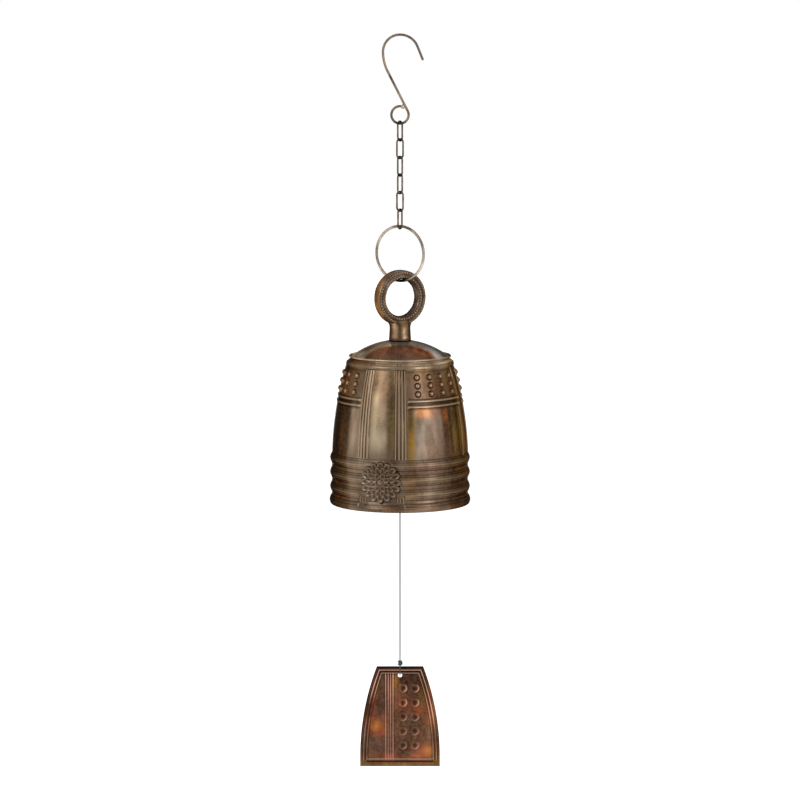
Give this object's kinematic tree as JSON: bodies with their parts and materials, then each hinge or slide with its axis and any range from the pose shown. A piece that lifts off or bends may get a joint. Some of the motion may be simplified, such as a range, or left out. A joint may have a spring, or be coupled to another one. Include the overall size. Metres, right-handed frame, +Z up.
{
  "type": "furin wind bell",
  "caption": "Temple-bell wind chime: wire hook, link chain and ring carry a cast bell with bosses, hoops and rosettes; a cord runs through the clapper to a sheet sail.",
  "frame": {"origin": "the inside of the hook's crown, on the hanging line, where the hook bears on its nail or branch", "axes": "+Z up along the hanging line; +X to the right of the sail's face; the sail's embossed face looks to -Y, and the nearer rosette looks to -Y, 16 degrees towards -X"},
  "size_m": [0.106, 0.1116, 0.5539],
  "materials": {
    "hook_wire": "antique brown patina on bent wire",
    "ring_wire": "antique golden brown patina",
    "cast_bronze": "antique bronze, rubbed bright on the ribs",
    "fastener_brass": "plain machined",
    "sheet_copper": "heat-toned copper brown with orange patches",
    "cord": "dark green-grey waxed cord"
  },
  "bodies": {
    "hook": {"hook": "hook_wire"},
    "link_1": {"chain_link_1": "hook_wire"},
    "link_2": {"chain_link_2": "hook_wire"},
    "link_3": {"chain_link_3": "hook_wire"},
    "link_4": {"chain_link_4": "hook_wire"},
    "link_5": {"chain_link_5": "hook_wire"},
    "link_6": {"chain_link_6": "hook_wire"},
    "ring": {"hanging_ring": "ring_wire"},
    "bell": {"crown_eye": "cast_bronze", "crown_washer": "fastener_brass", "crown_nut": "fastener_brass", "bell": "cast_bronze"},
    "clapper_ring": {"clapper_ring": "ring_wire"},
    "clapper": {"clapper_cord_loop": "cord", "clapper_cord_knot": "cord", "clapper_cord": "cord", "clapper": "cast_bronze", "clapper_stop_knot": "cord"},
    "sail_cord": {"sail_cord": "cord"},
    "sail_tie": {"sail_knot": "cord", "sail_cord_loop": "cord"},
    "sail": {"sail": "sheet_copper"}
  },
  "joints": [
    {"name": "link_1_swing", "type": "hinge", "parent": "hook", "child": "link_1", "pos_m": [0, 0, -0.06461], "axis": [1, 0, 0], "range_deg": [-45, 45]},
    {"name": "link_2_swing", "type": "hinge", "parent": "link_1", "child": "link_2", "pos_m": [0, 0, -0.07741], "axis": [0.5878, -0.809, 0], "range_deg": [-45, 45]},
    {"name": "link_3_swing", "type": "hinge", "parent": "link_2", "child": "link_3", "pos_m": [0, 0, -0.09046], "axis": [-0.809, -0.5878, 0], "range_deg": [-45, 45]},
    {"name": "link_4_swing", "type": "hinge", "parent": "link_3", "child": "link_4", "pos_m": [0, 0, -0.10351], "axis": [-0.5878, 0.809, 0], "range_deg": [-45, 45]},
    {"name": "link_5_swing", "type": "hinge", "parent": "link_4", "child": "link_5", "pos_m": [0, 0, -0.11656], "axis": [0.5878, 0.809, 0], "range_deg": [-45, 45]},
    {"name": "link_6_swing", "type": "hinge", "parent": "link_5", "child": "link_6", "pos_m": [0, 0, -0.12961], "axis": [0.809, -0.5878, 0], "range_deg": [-45, 45]},
    {"name": "ring_swing", "type": "hinge", "parent": "link_6", "child": "ring", "pos_m": [0, 0, -0.14266], "axis": [-0.515, -0.8572, 0], "range_deg": [-45, 45]},
    {"name": "bell_swing", "type": "hinge", "parent": "ring", "child": "bell", "pos_m": [0, 0, -0.18166], "axis": [-0.8572, 0.515, 0], "range_deg": [-40, 40]},
    {"name": "clapper_ring_swing", "type": "hinge", "parent": "bell", "child": "clapper_ring", "pos_m": [0, 0, -0.23916], "axis": [0.515, -0.8572, 0], "range_deg": [-13, 13]},
    {"name": "clapper_swing", "type": "hinge", "parent": "clapper_ring", "child": "clapper", "pos_m": [0, 0, -0.24876], "axis": [0.8572, 0.515, 0], "range_deg": [-13, 13]},
    {"name": "sail_cord_swing", "type": "hinge", "parent": "clapper", "child": "sail_cord", "pos_m": [0, 0, -0.33306], "axis": [1, 0, 0], "range_deg": [-15, 15]},
    {"name": "sail_twist", "type": "hinge", "parent": "sail_cord", "child": "sail_tie", "pos_m": [0, 0, -0.46991], "axis": [0, 0, 1], "range_deg": [-90, 90]},
    {"name": "sail_rock", "type": "hinge", "parent": "sail_tie", "child": "sail", "pos_m": [0, 0, -0.47996], "axis": [0, 1, 0], "range_deg": [-12, 12]}
  ]
}
